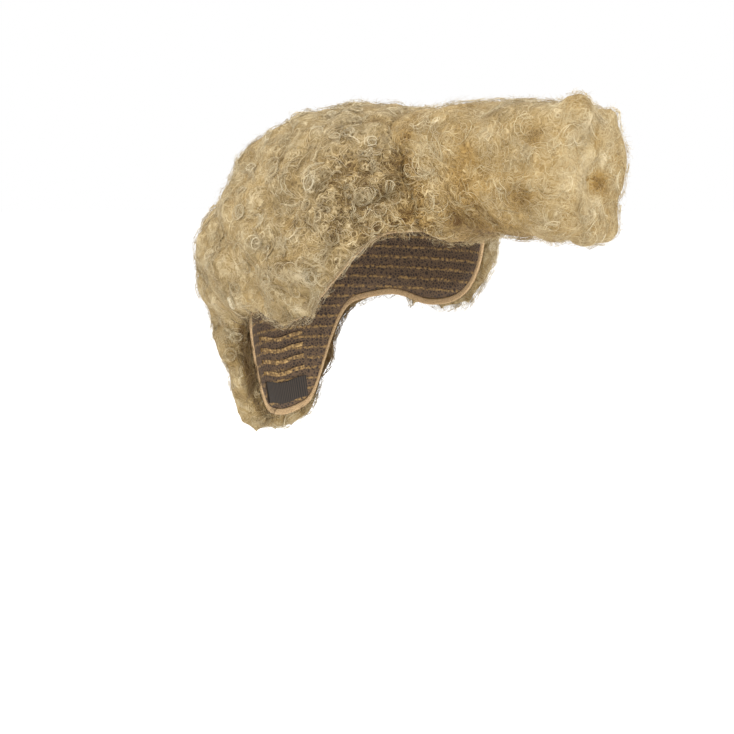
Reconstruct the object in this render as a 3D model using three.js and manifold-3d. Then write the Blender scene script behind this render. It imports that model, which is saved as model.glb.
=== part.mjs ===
// A curly blond wig with a thick roll of hair standing forward over the brow.
// Millimetres, +Z up. The origin is the inside of the cap where it rests on the crown of the
// wearer's head, the brow faces -Y, and +X is the wearer's left.
import * as THREE from "three";
import { mergeVertices } from "three/addons/utils/BufferGeometryUtils.js";
import Module from "manifold-3d";

const wasm = await Module();
wasm.setup();

// Driving dimensions
const HEAD = { halfWidth: 78, frontReach: 99, backReach: 104, girthDrop: 108, fullness: 0.95 };
const NAPE_TAPER = { share: 0.16, length: 118, power: 1.6 };
const CAP_WALL = 1.6;
const GAP = 0.4;
const CROWN_DEPTH = 17;
const HEAD_PAST_RIM = [6, 20, 40];

// Each row is one line from the crown to the rim. turn: degrees round from the brow. rim: how far
// the cap's rim lies below the crown. crest, side and hem: depth of the hair at 45 degrees from
// the crown, at the girth and at its lower edge. hang: how far the hair falls past the rim.
const SECTIONS = [
  { turn: 0, rim: 58, crest: 24, side: 18, hem: 9, hang: 0 },
  { turn: 48, rim: 60, crest: 23, side: 15, hem: 8, hang: 0 },
  { turn: 98, rim: 126, crest: 23, side: 20, hem: 9, hang: 1 },
  { turn: 110, rim: 118, crest: 24, side: 23, hem: 11, hang: 1 },
  { turn: 132, rim: 124, crest: 27, side: 34, hem: 16, hang: 3 },
  { turn: 162, rim: 208, crest: 27, side: 36, hem: 19, hang: 13 },
  { turn: 180, rim: 212, crest: 27, side: 35, hem: 18, hang: 14 },
];
const CREST_AT = 45;
const SIDE_AT = 80;

// The hairline comes further forward at the left temple than at the right, by this many degrees
const LEFT_TEMPLE = { forward: 12, from: 35, to: 105 };

// The roll over the brow, as rounded box sections from its root to the dimple in its end. reach:
// distance in front of the crown. across and lift: where the section's middle lies.
const ROLL_ROOT = { across: 0, reach: 34, lift: -10 };
const ROLL_SECTIONS = [
  { reach: 38, halfWidth: 26, halfHeight: 14, across: 0, lift: -7 },
  { reach: 48, halfWidth: 43, halfHeight: 27, across: 0, lift: -13 },
  { reach: 64, halfWidth: 50, halfHeight: 38, across: 0, lift: -20 },
  { reach: 90, halfWidth: 50, halfHeight: 42, across: 0, lift: -22 },
  { reach: 120, halfWidth: 46, halfHeight: 40, across: 0, lift: -20 },
  { reach: 150, halfWidth: 45, halfHeight: 41, across: 0, lift: -20 },
  { reach: 172, halfWidth: 45, halfHeight: 40, across: 0, lift: -21 },
  { reach: 185, halfWidth: 41, halfHeight: 36, across: -1, lift: -24 },
  { reach: 191, halfWidth: 33, halfHeight: 29, across: -3, lift: -27 },
  { reach: 191, halfWidth: 18, halfHeight: 17, across: -6, lift: -27 },
  { reach: 185, halfWidth: 9, halfHeight: 9, across: -8, lift: -26 },
];
const ROLL_DIMPLE = { across: -8, reach: 176, lift: -26 };
const ROLL_SQUARENESS = 2.8;

// Curls packed over the hair: each is a low dome with a ridge winding out from its middle, and a
// crease where it meets the next. swirl: height of the ridge as a share of the dome.
const CROWN_CURLS = { count: 210, spacing: 19, height: 6.5, swirl: 0.4, winding: 4.5 };
const ROLL_CURLS = { count: 64, spacing: 21, height: 5, swirl: 0.4, winding: 4.5 };

// Locks fused to the hair: a fringe along the hem, and tufts at the end of the roll
const HEM_LOCK = { length: 26, thick: 6.5, tip: 3, curl: 0.8, sunk: 1, from: 70, step: 16, stray: 4 };
const ROLL_TUFTS = [
  { across: -21, reach: 182, lift: 2, rise: 22, lean: 6, thick: 13, tip: 9 },
  { across: 24, reach: 178, lift: 0, rise: 16, lean: 6, thick: 9, tip: 5 },
  { across: 24, reach: 173, lift: -42, rise: -22, lean: 8, thick: 16, tip: 10 },
  { across: 0, reach: 177, lift: -42, rise: -21, lean: 8, thick: 16, tip: 10 },
];

// Trim along the edge and inside the nape
const LACE = { width: 4, thickness: 1.2, gap: 0.5, lift: 0.2 };
const NAPE_BAND = { halfAngle: 18.75, top: 20, bottom: 4, thickness: 1.2 };
const WEFTS = { count: 4, spacing: 9, aboveRim: 25, height: 3, thickness: 1.2, halfAngle: 18.75 };

// How finely the surfaces are divided
const CAP_TURNS = 48;
const CAP_RINGS = 8;
const HAIR_TURNS = 86;
const HAIR_RINGS = 28;
const ROLL_SIDES = 40;
const ROLL_STEP = 8.5;
const LOCK_SIDES = 6;
const LOCK_STEPS = 4;

const HALF_TURN = Math.PI;
const QUARTER_TURN = Math.PI / 2;
const GOLDEN_ANGLE = Math.PI * (3 - Math.sqrt(5));
const radians = THREE.MathUtils.degToRad;

// A value of a table's column at a place between two rows, with level ends and smooth joins
function fromTable(rows, key, at, column) {
  const last = rows.length - 1;
  if (at <= rows[0][key]) return rows[0][column];
  if (at >= rows[last][key]) return rows[last][column];
  const next = rows.findIndex((row) => row[key] > at);
  const [a, b] = [rows[next - 1], rows[next]];
  const share = THREE.MathUtils.smoothstep(at, a[key], b[key]);
  return THREE.MathUtils.lerp(a[column], b[column], share);
}

// A number from 0 to 1 that looks random and is always the same for the same index
function scatter(index, salt) {
  const wave = Math.sin(index * 127.1 + salt * 311.7) * 43758.5453;
  return wave - Math.floor(wave);
}

// A column of the sections at a turn round from the brow, positive towards the wearer's left
function section(turn, column) {
  const degrees = Math.abs(THREE.MathUtils.radToDeg(turn));
  const { forward, from, to } = LEFT_TEMPLE;
  const within = THREE.MathUtils.clamp((degrees - from) / (to - from), 0, 1);
  const shift = turn > 0 ? forward * Math.sin(HALF_TURN * within) ** 2 : 0;
  return fromTable(SECTIONS, "turn", degrees + shift, column);
}

// The wearer's head, by turn round from the brow and sweep down from the crown in radians.
// Past a quarter of a turn the sweep hangs straight down and draws in towards the nape.
function dropAt(sweep) {
  if (sweep <= QUARTER_TURN) return HEAD.girthDrop * (1 - Math.cos(sweep));
  return HEAD.girthDrop * (1 + sweep - QUARTER_TURN);
}

function sweepAt(drop) {
  if (drop <= HEAD.girthDrop) return Math.acos(1 - drop / HEAD.girthDrop);
  return QUARTER_TURN + drop / HEAD.girthDrop - 1;
}

function headPoint(turn, sweep) {
  const drop = dropAt(sweep);
  const below = Math.max(0, drop - HEAD.girthDrop) / NAPE_TAPER.length;
  const share =
    sweep <= QUARTER_TURN
      ? Math.sin(Math.max(0, sweep)) ** HEAD.fullness
      : 1 - NAPE_TAPER.share * below ** NAPE_TAPER.power;
  const reach = Math.cos(turn) > 0 ? HEAD.frontReach : HEAD.backReach;
  return new THREE.Vector3(
    HEAD.halfWidth * share * Math.sin(turn),
    -reach * share * Math.cos(turn),
    -drop,
  );
}

// The directions out of the head, down its side and round it at one place
function headFrame(turn, sweep) {
  const step = 1e-3;
  const low = Math.max(sweep, 0.02);
  const here = headPoint(turn, low);
  const down = headPoint(turn, low + step).sub(here).normalize();
  const round = headPoint(turn + step, low).sub(here).normalize();
  const out = round.clone().cross(down).negate().normalize();
  return { out, down, round };
}

function offHead(turn, sweep, offset) {
  return headPoint(turn, sweep).addScaledVector(headFrame(turn, sweep).out, offset);
}

// Surfaces

// A closed skin of rings between two end points. Each ring holds the same number of points and
// runs anticlockwise when seen from the first end.
function skin(first, rings, last) {
  const count = rings[0].length;
  const points = [first, ...rings.flat(), last];
  const at = (ring, i) => 1 + ring * count + (i % count);
  const faces = [];
  for (let i = 0; i < count; i++) {
    faces.push(0, at(0, i), at(0, i + 1));
    for (let ring = 0; ring < rings.length - 1; ring++) {
      faces.push(at(ring, i), at(ring + 1, i), at(ring + 1, i + 1));
      faces.push(at(ring, i), at(ring + 1, i + 1), at(ring, i + 1));
    }
    faces.push(points.length - 1, at(rings.length - 1, i + 1), at(rings.length - 1, i));
  }
  const geometry = new THREE.BufferGeometry().setFromPoints(points);
  return geometry.setIndex(faces);
}

function solid(geometry) {
  const bare = geometry.clone();
  bare.deleteAttribute("normal");
  bare.deleteAttribute("uv");
  const merged = mergeVertices(bare, 1e-4);
  const mesh = new wasm.Mesh({
    numProp: 3,
    vertProperties: new Float32Array(merged.attributes.position.array),
    triVerts: new Uint32Array(merged.index.array),
  });
  return new wasm.Manifold(mesh);
}

function geometryOf(body) {
  const mesh = body.getMesh();
  const positions = new THREE.BufferAttribute(new Float32Array(mesh.vertProperties), 3);
  const geometry = new THREE.BufferGeometry().setAttribute("position", positions);
  geometry.setIndex(new THREE.BufferAttribute(new Uint32Array(mesh.triVerts), 1));
  geometry.computeVertexNormals();
  return geometry;
}

function largest(body) {
  return body.decompose().sort((a, b) => b.volume() - a.volume())[0];
}

function turns(count) {
  return Array.from({ length: count }, (_, i) => (2 * HALF_TURN * i) / count - HALF_TURN);
}

// Foundation cap

function rimSweep(turn) {
  return sweepAt(section(turn, "rim"));
}

function capRing(ring, offset) {
  return turns(CAP_TURNS).map((turn) => offHead(turn, (rimSweep(turn) * ring) / CAP_RINGS, offset));
}

// A place on the cap's flat facets, at a share of the way from the crown to the rim
function onCapWall(turn, share, offset) {
  const ring = Math.min(CAP_RINGS - 1, Math.floor(share * CAP_RINGS));
  const from = offHead(turn, (rimSweep(turn) * ring) / CAP_RINGS, offset);
  const to = offHead(turn, (rimSweep(turn) * (ring + 1)) / CAP_RINGS, offset);
  return from.lerp(to, share * CAP_RINGS - ring);
}

function foundationCap() {
  const outer = [];
  const inner = [];
  for (let ring = 1; ring <= CAP_RINGS; ring++) {
    outer.push(capRing(ring, CAP_WALL));
    inner.unshift(capRing(ring, 0));
  }
  return skin(new THREE.Vector3(0, 0, CAP_WALL), [...outer, ...inner], new THREE.Vector3(0, 0, 0));
}

// All that lies under the hair: the cap, and the head as far as the hair hangs past it
function underHair() {
  const offset = CAP_WALL + GAP;
  const rings = [];
  for (let ring = 1; ring <= CAP_RINGS; ring++) rings.push(capRing(ring, offset));
  for (const past of HEAD_PAST_RIM) {
    const sweepPast = past / HEAD.girthDrop;
    rings.push(turns(CAP_TURNS).map((turn) => offHead(turn, rimSweep(turn) + sweepPast, offset)));
  }
  return solid(skin(new THREE.Vector3(0, 0, offset), rings, new THREE.Vector3(0, 0, -HEAD.girthDrop)));
}

// Hair over the cap

function hemSweep(turn) {
  return rimSweep(turn) + section(turn, "hang") / HEAD.girthDrop;
}

function hairDepth(turn, sweep) {
  const hem = hemSweep(turn);
  const anchors = [
    { sweep: 0, depth: CROWN_DEPTH },
    { sweep: Math.min(radians(CREST_AT), 0.6 * hem), depth: section(turn, "crest") },
    { sweep: Math.min(radians(SIDE_AT), 0.85 * hem), depth: section(turn, "side") },
    { sweep: hem, depth: section(turn, "hem") },
  ];
  return fromTable(anchors, "sweep", sweep, "depth");
}

function hairPoint(turn, sweep) {
  return offHead(turn, sweep, CAP_WALL + hairDepth(turn, sweep));
}

// Places wound in a spiral from the crown to the hem so that they lie evenly
function spiralPlaces(count) {
  return Array.from({ length: count }, (_, i) => ({
    turn: ((i * GOLDEN_ANGLE + scatter(i, 1)) % (2 * HALF_TURN)) - HALF_TURN,
    share: ((i + 0.5) / count) ** 0.62,
  }));
}

// Height that the nearest curl raises at a place. A curl holds its middle and two directions
// along the hair there.
function curlHeight(place, curls, { spacing, height, swirl, winding }) {
  const distances = curls.map((curl) => curl.middle.distanceTo(place));
  const nearest = distances.indexOf(Math.min(...distances));
  const { middle, down, round } = curls[nearest];
  const share = distances[nearest] / spacing;
  const away = place.clone().sub(middle);
  const hand = scatter(nearest, 4) < 0.5 ? -1 : 1;
  const angle = hand * Math.atan2(away.dot(round), away.dot(down)) + 2 * HALF_TURN * scatter(nearest, 3);
  const ridge = swirl * Math.cos(angle + winding * share) * Math.min(1, 2 * share);
  return height * Math.max(-0.4, 1 - share ** 2 + ridge);
}

function hairForm() {
  const curls = spiralPlaces(CROWN_CURLS.count).map(({ turn, share }) => {
    const sweep = share * hemSweep(turn);
    return { middle: hairPoint(turn, sweep), ...headFrame(turn, sweep) };
  });
  const crown = new THREE.Vector3(0, 0, CAP_WALL + CROWN_DEPTH);
  const rings = [];
  for (let ring = 1; ring <= HAIR_RINGS; ring++) {
    rings.push(
      turns(HAIR_TURNS).map((turn) => {
        const sweep = (hemSweep(turn) * ring) / HAIR_RINGS;
        const place = hairPoint(turn, sweep);
        const rise = curlHeight(place, curls, CROWN_CURLS);
        return place.addScaledVector(headFrame(turn, sweep).out, rise);
      }),
    );
  }
  rings.push(turns(HAIR_TURNS).map((turn) => offHead(turn, hemSweep(turn), -CAP_WALL)));
  return solid(skin(crown, rings, new THREE.Vector3(0, 0, -HEAD.girthDrop / 2)));
}

// A lock: a tube along a curve, thickest a third of the way along and blunt at its tip
function lock(points, thick, tip) {
  const path = new THREE.CatmullRomCurve3(points);
  const frames = path.computeFrenetFrames(LOCK_STEPS, false);
  const rings = [];
  for (let step = 0; step <= LOCK_STEPS; step++) {
    const share = step / LOCK_STEPS;
    const swell = THREE.MathUtils.smoothstep(share, 0, 0.33);
    const taper = THREE.MathUtils.smoothstep(share, 0.33, 1);
    const radius = THREE.MathUtils.lerp(thick * (0.6 + 0.4 * swell), tip, taper);
    const middle = path.getPointAt(share);
    rings.push(
      Array.from({ length: LOCK_SIDES }, (_, side) => {
        const angle = (2 * HALF_TURN * side) / LOCK_SIDES;
        return middle
          .clone()
          .addScaledVector(frames.normals[step], -radius * Math.cos(angle))
          .addScaledVector(frames.binormals[step], radius * Math.sin(angle));
      }),
    );
  }
  const end = path.getPointAt(1).addScaledVector(frames.tangents[LOCK_STEPS], tip * 0.7);
  return solid(skin(path.getPointAt(0), rings, end));
}

// A lock at the hem that falls past the edge and turns to one side
function hemLock(turn, index) {
  const sweep = hemSweep(turn);
  const { out, down, round } = headFrame(turn, sweep);
  const { tip, curl, sunk } = HEM_LOCK;
  const thick = HEM_LOCK.thick * (0.75 + 0.4 * scatter(index, 7));
  const length = HEM_LOCK.length * (0.8 + 0.5 * scatter(index, 8));
  const side = scatter(index, 2) < 0.5 ? -1 : 1;
  const start = hairPoint(turn, sweep).addScaledVector(out, -thick - sunk);
  const points = [-0.6, -0.3, 0, 0.2].map((along) =>
    start
      .clone()
      .addScaledVector(down, along * length)
      .addScaledVector(round, side * curl * thick * Math.sin(3 * along))
      .addScaledVector(out, curl * thick * (along + 0.4)),
  );
  return lock(points, thick, tip);
}

function hemLocks() {
  const locks = [];
  for (let degrees = HEM_LOCK.from; degrees <= 360 - HEM_LOCK.from; degrees += HEM_LOCK.step) {
    const strayed = degrees + HEM_LOCK.stray * (2 * scatter(degrees, 9) - 1);
    locks.push(hemLock(radians(strayed > 180 ? strayed - 360 : strayed), locks.length));
  }
  return locks;
}

// Roll over the brow

function rollSectionAt(reach) {
  const outside = ROLL_SECTIONS.slice(0, -2);
  const column = (name) => fromTable(outside, "reach", reach, name);
  return {
    reach,
    halfWidth: column("halfWidth"),
    halfHeight: column("halfHeight"),
    across: column("across"),
    lift: column("lift"),
  };
}

// A place on one section of the roll, with the direction out of the roll there
function rollPoint({ reach, halfWidth, halfHeight, across, lift }, angle) {
  const [sin, cos] = [Math.sin(angle), Math.cos(angle)];
  const rounded = (value) => Math.sign(value) * Math.abs(value) ** (2 / ROLL_SQUARENESS);
  const way = new THREE.Vector3(sin, 0, cos);
  const x = across + halfWidth * rounded(sin);
  const z = lift + halfHeight * rounded(cos);
  return { place: new THREE.Vector3(x, -reach, z), way };
}

// Curls wound round the roll from its root to its end
function rollCurls() {
  const first = ROLL_SECTIONS[1].reach;
  const last = ROLL_SECTIONS[ROLL_SECTIONS.length - 3].reach;
  const down = new THREE.Vector3(0, -1, 0);
  return Array.from({ length: ROLL_CURLS.count }, (_, i) => {
    const row = rollSectionAt(first + ((i + 0.5) / ROLL_CURLS.count) * (last - first));
    const { place, way } = rollPoint(row, i * GOLDEN_ANGLE + scatter(i, 5));
    return { middle: place, down, round: way.cross(down) };
  });
}

function rollForm(grow) {
  const curls = rollCurls();
  const ringOf = (row) =>
    Array.from({ length: ROLL_SIDES }, (_, i) => {
      const { place, way } = rollPoint(row, (2 * HALF_TURN * i) / ROLL_SIDES);
      return place.addScaledVector(way, grow + curlHeight(place, curls, ROLL_CURLS));
    });
  const rings = [];
  ROLL_SECTIONS.forEach((row, i) => {
    rings.push(ringOf(row));
    const along = (ROLL_SECTIONS[i + 1] ?? row).reach - row.reach;
    const between = Math.floor(along / ROLL_STEP);
    for (let k = 1; k <= between; k++) {
      rings.push(ringOf(rollSectionAt(row.reach + (along * k) / (between + 1))));
    }
  });
  const root = new THREE.Vector3(ROLL_ROOT.across, -ROLL_ROOT.reach + grow, ROLL_ROOT.lift);
  const dimple = new THREE.Vector3(ROLL_DIMPLE.across, -ROLL_DIMPLE.reach, ROLL_DIMPLE.lift);
  return solid(skin(root, rings, dimple));
}

function rollTuft({ across, reach, lift, rise, lean, thick, tip }) {
  const points = [0, 0.5, 1].map(
    (along) => new THREE.Vector3(across, -reach - lean * along, lift + rise * along),
  );
  return lock(points, thick, tip);
}

// Lace edge, nape band and wefts

// A strip bent round the cap, between two angles and four corners given for each angle
function strip(angles, cornersAt) {
  const rings = angles.map(cornersAt);
  const middle = (ring) =>
    ring.reduce((sum, p) => sum.add(p), new THREE.Vector3()).divideScalar(ring.length);
  return skin(middle(rings[0]), rings, middle(rings[rings.length - 1]));
}

function cornersOnWall(turn, topDrop, bottomDrop, nearOffset, farOffset) {
  const share = (drop) => sweepAt(drop) / rimSweep(turn);
  return [
    onCapWall(turn, share(topDrop), nearOffset),
    onCapWall(turn, share(topDrop), farOffset),
    onCapWall(turn, share(bottomDrop), farOffset),
    onCapWall(turn, share(bottomDrop), nearOffset),
  ];
}

// A strip inside the nape, between two heights above the rim
function napeStrip({ halfAngle, thickness }, top, bottom) {
  const step = 360 / CAP_TURNS;
  const count = Math.round((2 * halfAngle) / step);
  const angles = Array.from({ length: count + 1 }, (_, i) => radians(180 - halfAngle + i * step));
  return strip(angles, (angle) => {
    const turn = angle > HALF_TURN ? angle - 2 * HALF_TURN : angle;
    const rim = section(turn, "rim");
    return cornersOnWall(turn, rim - top, rim - bottom, -GAP, -GAP - thickness);
  });
}

function napeWeft(index) {
  const bottom = WEFTS.aboveRim + index * WEFTS.spacing;
  return napeStrip(WEFTS, bottom + WEFTS.height, bottom);
}

// A closed loop of lace below the cap's rim
function laceEdge() {
  const { width, thickness, gap, lift } = LACE;
  const corners = [
    { below: gap, offset: lift },
    { below: gap + width, offset: lift },
    { below: gap + width, offset: lift + thickness },
    { below: gap, offset: lift + thickness },
  ];
  const loops = corners.map(({ below, offset }) =>
    turns(CAP_TURNS).map((turn) => {
      const sweep = rimSweep(turn);
      const { out, down } = headFrame(turn, sweep);
      return headPoint(turn, sweep).addScaledVector(down, below).addScaledVector(out, offset);
    }),
  );
  const faces = [];
  for (let side = 0; side < loops.length; side++) {
    for (let i = 0; i < CAP_TURNS; i++) {
      const at = (loop, step) => (loop % loops.length) * CAP_TURNS + ((i + step) % CAP_TURNS);
      faces.push(at(side, 0), at(side, 1), at(side + 1, 1));
      faces.push(at(side, 0), at(side + 1, 1), at(side + 1, 0));
    }
  }
  return new THREE.BufferGeometry().setFromPoints(loops.flat()).setIndex(faces);
}

// Assembly

const BLOND_CURLS = { color: 0xc9ae78, roughness: 0.85 };
const BLOND_ROLL = { color: 0xcfb47c, roughness: 0.85 };
const DARK_NET = { color: 0x4a3a2a, roughness: 0.9 };
const SKIN_LACE = { color: 0xcfa37c, roughness: 0.9 };
const BLACK_ELASTIC = { color: 0x241f22, roughness: 0.8 };
const BLOND_WEFT = { color: 0xb8975a, roughness: 0.85 };

function piece(name, geometry, finish) {
  const material = new THREE.MeshStandardMaterial({ ...finish, metalness: 0 });
  const mesh = new THREE.Mesh(geometry, material);
  mesh.name = name;
  return mesh;
}

const fuse = (form, lock) => form.add(lock);
const roll = ROLL_TUFTS.map(rollTuft).reduce(fuse, rollForm(0));
const hair = hemLocks().reduce(fuse, hairForm());
const under = underHair();
const frontRoll = largest(roll.subtract(under));
const crownHair = largest(hair.subtract(under).subtract(rollForm(GAP)));
const napeBand = napeStrip(NAPE_BAND, NAPE_BAND.top, NAPE_BAND.bottom);

const wig = new THREE.Group();
wig.name = "wig";
wig.add(piece("foundation_cap", foundationCap(), DARK_NET));
wig.add(piece("lace_edge", laceEdge(), SKIN_LACE));
wig.add(piece("nape_band", napeBand, BLACK_ELASTIC));
for (let i = 0; i < WEFTS.count; i++) {
  wig.add(piece(`nape_weft_${i + 1}`, napeWeft(i), BLOND_WEFT));
}
wig.add(piece("crown_hair", geometryOf(crownHair), BLOND_CURLS));
wig.add(piece("front_roll", geometryOf(frontRoll), BLOND_ROLL));

export default wig;
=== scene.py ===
# %% [markdown]
# # A curly blond wig
# A stage wig is a net cap with hair tied into it. This one has teased, frizzy curls over the crown,
# sides and nape, and a thick roll of hair that stands straight forward over the brow. The packed
# model gives the frame: where each mass of hair lies and how big it is. Everything that follows
# is dressed onto that frame, in metres, with +Z up and the brow facing -Y.

import math
from types import SimpleNamespace

import bmesh
import bpy
import numpy as np
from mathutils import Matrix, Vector, noise
from mathutils.bvhtree import BVHTree


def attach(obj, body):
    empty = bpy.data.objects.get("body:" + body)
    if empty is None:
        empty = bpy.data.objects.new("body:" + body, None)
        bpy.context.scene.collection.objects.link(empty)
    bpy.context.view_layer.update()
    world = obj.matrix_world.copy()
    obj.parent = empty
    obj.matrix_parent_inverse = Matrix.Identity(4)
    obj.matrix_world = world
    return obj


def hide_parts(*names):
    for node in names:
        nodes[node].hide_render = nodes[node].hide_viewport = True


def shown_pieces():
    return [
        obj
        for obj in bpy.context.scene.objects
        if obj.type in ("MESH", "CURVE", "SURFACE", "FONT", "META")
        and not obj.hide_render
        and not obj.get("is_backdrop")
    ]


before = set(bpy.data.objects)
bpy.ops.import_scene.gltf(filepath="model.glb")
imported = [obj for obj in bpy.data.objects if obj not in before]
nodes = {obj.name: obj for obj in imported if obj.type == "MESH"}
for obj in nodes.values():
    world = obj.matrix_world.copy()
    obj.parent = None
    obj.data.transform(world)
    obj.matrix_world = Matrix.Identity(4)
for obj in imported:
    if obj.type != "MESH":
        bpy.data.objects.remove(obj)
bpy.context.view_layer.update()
MM = 0.001
print("loaded", len(nodes), "nodes:", ", ".join(sorted(nodes)))

# %% [markdown]
# ## Camera
# The photograph looks at the wig's right front from slightly above, through a long lens. A camera
# can be aimed by eye, but then every shape is judged through a view that is a little wrong. Here the
# turn, tilt and distance were found by laying the frame's outline over the photograph.

# %% Camera
TURN, TILT = math.radians(-49.5), math.radians(9.0)
DISTANCE, ASIDE, RAISED = 1100 * MM, -4.4 * MM, 4.7 * MM
LENS, SENSOR = 73.57, 36.0  # in millimetres, as a camera takes them
UP = Vector((0, 0, 1))


def pointed(way):
    """The turn of a camera or a lamp that looks along a direction."""
    return way.to_track_quat("-Z", "Y").to_euler()


towards = Vector((math.sin(TURN), -math.cos(TURN), 0))
across = Vector((math.cos(TURN), math.sin(TURN), 0))
lens = bpy.data.cameras.new("camera")
lens.lens, lens.sensor_width = LENS, SENSOR
camera = bpy.data.objects.new("camera", lens)
camera.location = towards * DISTANCE + across * ASIDE + UP * RAISED
camera.rotation_euler = pointed(-towards * math.cos(TILT) - UP * math.sin(TILT))
bpy.context.scene.collection.objects.link(camera)
bpy.context.scene.camera = camera
print("camera", [round(c, 3) for c in camera.location])

# %% [markdown]
# ## Helpers
# A few small helpers are used all through. One turns a colour as painters write it, a hex code, into
# the linear light that a renderer adds up. One adds a node to a tree, sets it and joins it, so that
# a material or a growing rule reads as a list of steps. The others begin a material, turn a block
# that is being edited into a mesh, and put a mesh in the scene.

# %% Helpers
MATH, VECTOR, NOISE = "ShaderNodeMath", "ShaderNodeVectorMath", "ShaderNodeTexNoise"


def colour(code):
    """Linear RGBA of an sRGB hex colour."""
    parts = [int(code[i : i + 2], 16) / 255 for i in (1, 3, 5)]
    return (*(p / 12.92 if p <= 0.04045 else ((p + 0.055) / 1.055) ** 2.4 for p in parts), 1.0)


def node(tree, kind, inputs=None, stops=None, **settings):
    """Add a node, set it, and fill its inputs from values, sockets or other nodes' first outputs."""
    made = tree.nodes.new(kind)
    for name, value in settings.items():
        setattr(made, name, value)
    for key, value in (inputs or {}).items():
        if isinstance(value, bpy.types.Node):
            value = value.outputs[0]
        if isinstance(value, bpy.types.NodeSocket):
            tree.links.new(value, made.inputs[key])
        else:
            made.inputs[key].default_value = value
    for i, (place, code) in enumerate(stops or ()):
        ramp_stops = made.color_ramp.elements
        stop = ramp_stops[i] if i < 2 else ramp_stops.new(place)
        stop.position, stop.color = place, colour(code)
    return made


def new_material(name, roughness):
    """A plain material and its tree and shader, ready to be given a pattern."""
    material = bpy.data.materials.new(name)
    material.use_nodes = True
    shader = material.node_tree.nodes["Principled BSDF"]
    shader.inputs["Roughness"].default_value = roughness
    return material, material.node_tree, shader


def as_mesh(block, name):
    """The mesh of a block that has been edited, which is then let go."""
    mesh = bpy.data.meshes.new(name)
    block.to_mesh(mesh)
    block.free()
    return mesh


def add_object(name, mesh):
    """A mesh in the scene, at the origin."""
    made = bpy.data.objects.new(name, mesh)
    bpy.context.scene.collection.objects.link(made)
    return made


print("white is", colour("#ffffff"))

# %% [markdown]
# ## Light
# Product photographs of hair use broad, soft light from all round, so that the crevices stay warm
# and open instead of black. One strong lamp would draw hard shadows between the strands. Here
# a white surround does most of the work. A panel at the left lifts the back of the crown, one at the
# right lifts the end of the roll, one on the far side and one in front keep those sides from going
# dull, and one above draws the tops of the curls.

# %% Light
WHITE = (1, 1, 1, 1)
MIDDLE = Vector((0, -30 * MM, -80 * MM))
PANELS = [  # name, place and size in metres, watts
    ("left_panel", (-1.3, 0.75, 0.6), 1.0, 13.0),
    ("right_panel", (0.35, -1.7, 0.5), 1.1, 14.0),
    ("far_panel", (1.5, 0.5, 0.5), 1.1, 8.0),
    ("top_panel", (-0.6, -0.3, 1.5), 0.9, 20.0),
    ("front_panel", (-1.3, -1.2, 0.4), 1.0, 5.0),
]
scene = bpy.context.scene
scene.view_settings.view_transform = "Standard"
scene.world = bpy.data.worlds.new("surround")
scene.world.use_nodes = True
surround = scene.world.node_tree.nodes["Background"]
surround.inputs["Color"].default_value = WHITE
surround.inputs["Strength"].default_value = 1.0

for name, place, size, watts in PANELS:
    lamp = bpy.data.lights.new(name, "AREA")
    lamp.shape, lamp.size, lamp.energy = "DISK", size, watts
    panel = bpy.data.objects.new(name, lamp)
    panel.location = place
    panel.rotation_euler = pointed(MIDDLE - panel.location)
    panel.visible_camera = False
    scene.collection.objects.link(panel)
print("lit by a white surround and", len(PANELS), "panels")

# %% [markdown]
# ## Floor
# The wig is held up, as a head holds it, so the floor lies well below it and only has to be pale.
# A round sheet is enough. It is wide, so that its edge is out of sight.

# %% Floor
FLOOR_LEVEL, FLOOR_RADIUS, FLOOR_SIDES = -370 * MM, 6.0, 96

# White backdrop paper has no shine, and a little light of its own keeps it as pale as lit paper.
paper, tree, shader = new_material("white paper", 0.9)
shader.inputs["Base Color"].default_value = colour("#f7f7f7")
shader.inputs["Specular IOR Level"].default_value = 0.0
shader.inputs["Emission Color"].default_value = WHITE
shader.inputs["Emission Strength"].default_value = 0.15

sheet = bmesh.new()
bmesh.ops.create_circle(sheet, cap_ends=True, segments=FLOOR_SIDES, radius=FLOOR_RADIUS)
floor = add_object("floor", as_mesh(sheet, "floor"))
floor.location.z = FLOOR_LEVEL
floor.data.materials.append(paper)
floor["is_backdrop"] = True
print("floor at", FLOOR_LEVEL)

# %% [markdown]
# ## The mats of hair
# Teased hair is a felted mat: thousands of fine hairs tangled until they hold a shape. It could be
# sculpted by hand, but a skin wrapped round the frame's solid keeps the size that the frame gives.
# A voxel remesh covers the solid in small even faces, and a light smoothing takes off its facets.

# %% Wrap the solids in even skins
SKIN_CELL = {"crown_hair": 3.0 * MM, "front_roll": 2.6 * MM}
SOFTEN, SOFTEN_TIMES = 0.5, 3
MERGE = 0.01 * MM


def merged(name):
    """A copy of one of the frame's solids to edit, with its loose triangles joined up."""
    block = bmesh.new()
    block.from_mesh(nodes[name].data)
    bmesh.ops.remove_doubles(block, verts=block.verts, dist=MERGE)
    return block


def settled(rough, all_layers=False):
    """The plain mesh that an object's modifiers give. The object goes, and its modifiers with it."""
    seen = bpy.context.evaluated_depsgraph_get()
    shaped = rough.evaluated_get(seen)
    mesh = bpy.data.meshes.new_from_object(shaped, preserve_all_data_layers=all_layers, depsgraph=seen)
    bpy.data.objects.remove(rough)
    return mesh


def keep_largest(mesh):
    """Drop the small loose bits of a skin, where a thin tip has come away."""
    block = bmesh.new()
    block.from_mesh(mesh)
    parts, left = [], set(block.verts)
    while left:
        part, reached = set(), [left.pop()]
        while reached:
            vert = reached.pop()
            part.add(vert)
            fresh = {edge.other_vert(vert) for edge in vert.link_edges} & left
            left -= fresh
            reached += fresh
        parts.append(part)
    parts.sort(key=len)
    bmesh.ops.delete(block, geom=[vert for part in parts[:-1] for vert in part], context="VERTS")
    block.to_mesh(mesh)
    block.free()


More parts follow.
